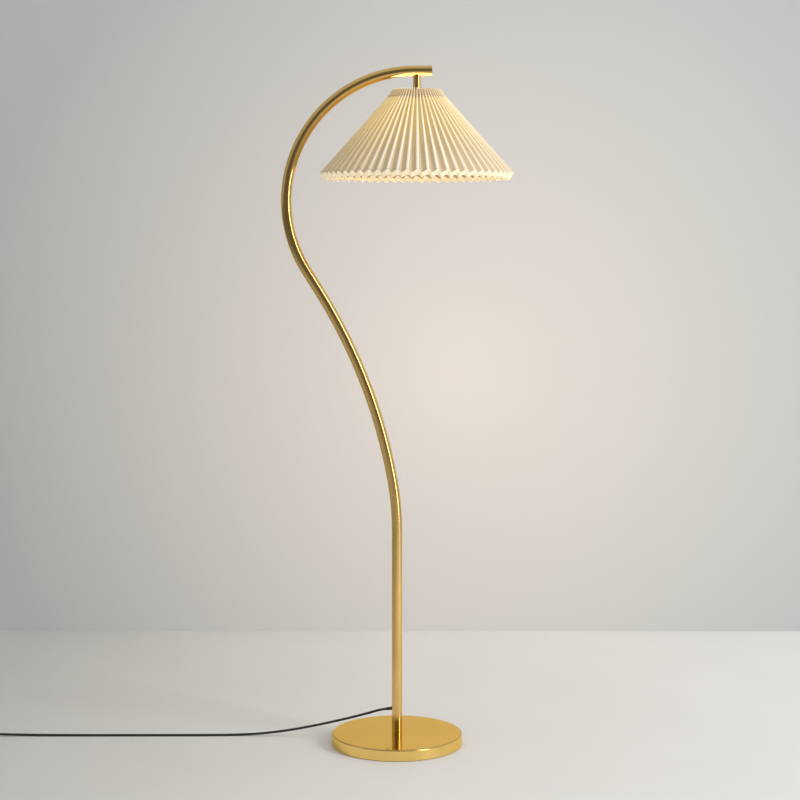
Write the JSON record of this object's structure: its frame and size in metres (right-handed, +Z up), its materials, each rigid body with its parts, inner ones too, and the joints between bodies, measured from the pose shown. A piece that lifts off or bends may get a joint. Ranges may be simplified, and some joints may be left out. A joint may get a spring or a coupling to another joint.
{
  "type": "arc floor lamp",
  "caption": "Arc floor lamp: heavy round base, thin brass tube bowed out and back over, and a wide pleated cone shade hanging from its tip on a short stem.",
  "frame": {"origin": "centre of the base's underside, on the floor and on the axis of the pole", "axes": "+Z up along the pole, -X towards the side the arm bows out to, +X the side the shade reaches over, +Y away from the viewer"},
  "size_m": [1.2727, 0.4072, 1.4474],
  "materials": {
    "tube_brass": "polished and lacquered",
    "base_brass": "satin lacquered",
    "iron": "rough cast, black",
    "felt": "pressed felt",
    "steel": "zinc plated",
    "fitting_brass": "plain turned",
    "holder_black": "moulded phenolic",
    "ceramic": "unglazed white",
    "pleated_cloth": "fine woven cloth on a stiff backing",
    "carrier_white": "white powder coat",
    "bulb_glass": "opal frosted",
    "bulb_light": "lit phosphor",
    "bulb_cap": "rolled thread",
    "bulb_insulator": "black glass",
    "cord_black": "smooth flexible sheath",
    "cord_rubber": "soft moulded",
    "tie_black": "ribbed strap",
    "switch_black": "fine texture",
    "button_black": "glossy",
    "pin_nickel": "nickel plated"
  },
  "bodies": {
    "stand": {"base_felt": "felt", "base_weight": "iron", "base_cover": "base_brass", "base_bolt": "steel", "base_washer": "steel", "pole_tube": "tube_brass", "foot_bush": "steel", "joint_socket": "fitting_brass", "joint_stud": "fitting_brass", "arm_tube": "tube_brass", "arm_cap": "tube_brass", "drop_stem": "tube_brass", "stem_bush": "fitting_brass", "stem_nipple": "steel", "nipple_nut": "steel", "holder_cap": "holder_black", "holder_body": "holder_black", "holder_core": "ceramic", "screw_shell": "fitting_brass", "centre_contact": "fitting_brass", "terminal_screws": "fitting_brass", "cord_bush": "cord_rubber", "lead_inside": "cord_black", "cord_to_switch": "cord_black", "cord_to_coil": "cord_black", "cord_to_plug": "cord_black", "cord_coil": "cord_black", "coil_tie": "tie_black", "switch_base": "switch_black", "switch_cover": "switch_black", "switch_screws": "steel", "switch_contacts": "fitting_brass", "switch_spring": "steel", "plug_body": "switch_black", "plug_pins": "pin_nickel", "plug_relief": "cord_rubber"},
    "shade_unit": {"shade": "pleated_cloth", "shade_hub": "carrier_white", "shade_hoop": "carrier_white", "shade_arms": "carrier_white"},
    "ring": {"clamp_ring": "holder_black"},
    "bulb": {"bulb_tip": "fitting_brass", "bulb_insulator": "bulb_insulator", "bulb_cap": "bulb_cap", "bulb_glass": "bulb_glass", "bulb_light": "bulb_light"},
    "button": {"switch_button": "button_black"}
  },
  "joints": [
    {"name": "shade_turn", "type": "hinge", "parent": "stand", "child": "shade_unit", "pos_m": [0.0417, 0, 1.35765], "axis": [0, 0, 1], "continuous": true},
    {"name": "ring_turn", "type": "hinge", "parent": "stand", "child": "ring", "pos_m": [0.0417, 0, 1.3528], "axis": [0, 0, -1], "range_deg": [0, 720]},
    {"name": "bulb_out", "type": "slide", "parent": "stand", "child": "bulb", "axis": [0, 0, -1], "range_m": [0, 0.165]},
    {"name": "switch_press", "type": "slide", "parent": "stand", "child": "button", "axis": [0, 0, -1], "range_m": [0, 0.0025], "stiffness_N_per_m": 500, "springref_m": -0.002, "deforming": ["switch_spring"]}
  ]
}
